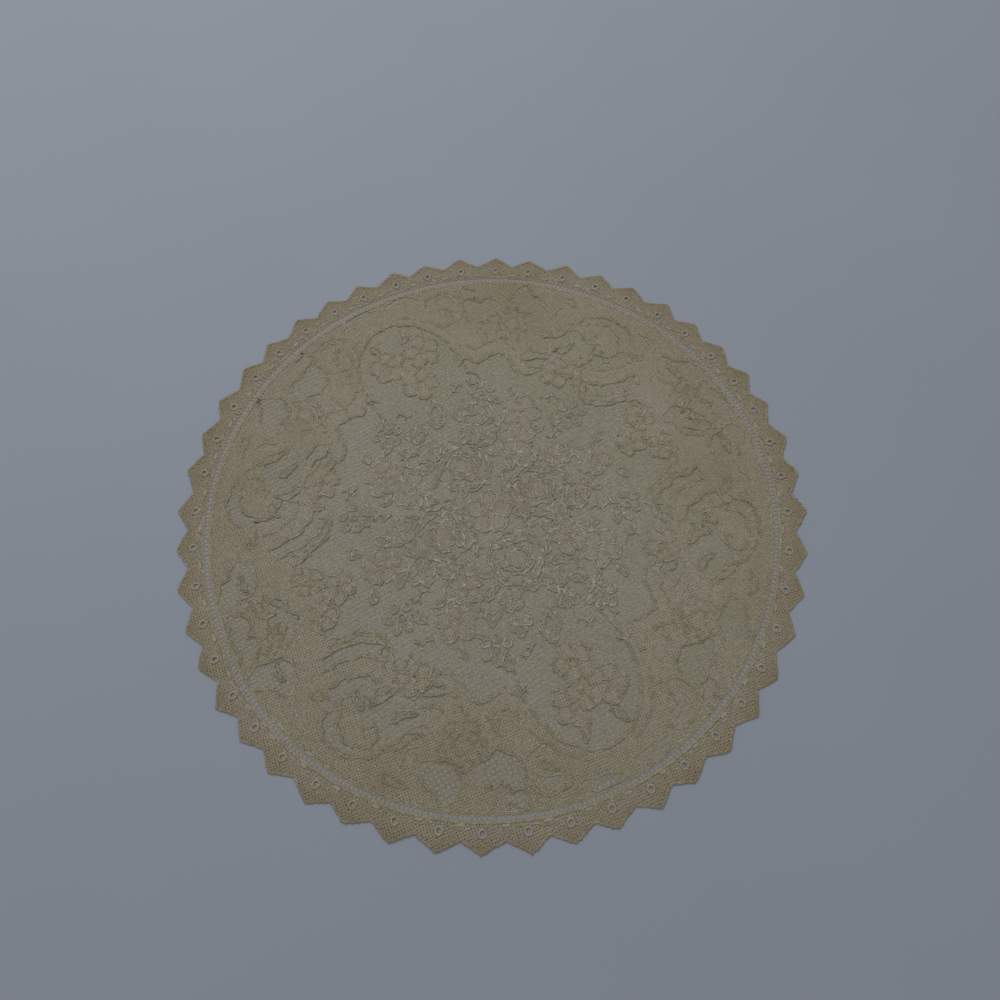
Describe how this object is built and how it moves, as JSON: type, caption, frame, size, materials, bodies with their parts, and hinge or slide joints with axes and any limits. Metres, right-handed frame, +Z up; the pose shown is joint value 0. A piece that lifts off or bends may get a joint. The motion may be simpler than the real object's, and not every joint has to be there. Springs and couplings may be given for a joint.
{
  "type": "lace doily",
  "caption": "Round ecru lace doily lying flat, a thin sheet with a pointed zigzag edge and a small open eyelet inside each point.",
  "frame": {"origin": "middle of the round, on the underside that rests on the table", "axes": "+Z up out of the lace's face, +Y away from the viewer, +X to the right"},
  "size_m": [0.3012, 0.2974, 0.0012],
  "materials": {
    "lace": "matt ecru cotton lace"
  },
  "bodies": {
    "root": {"doily": "lace"}
  },
  "joints": []
}
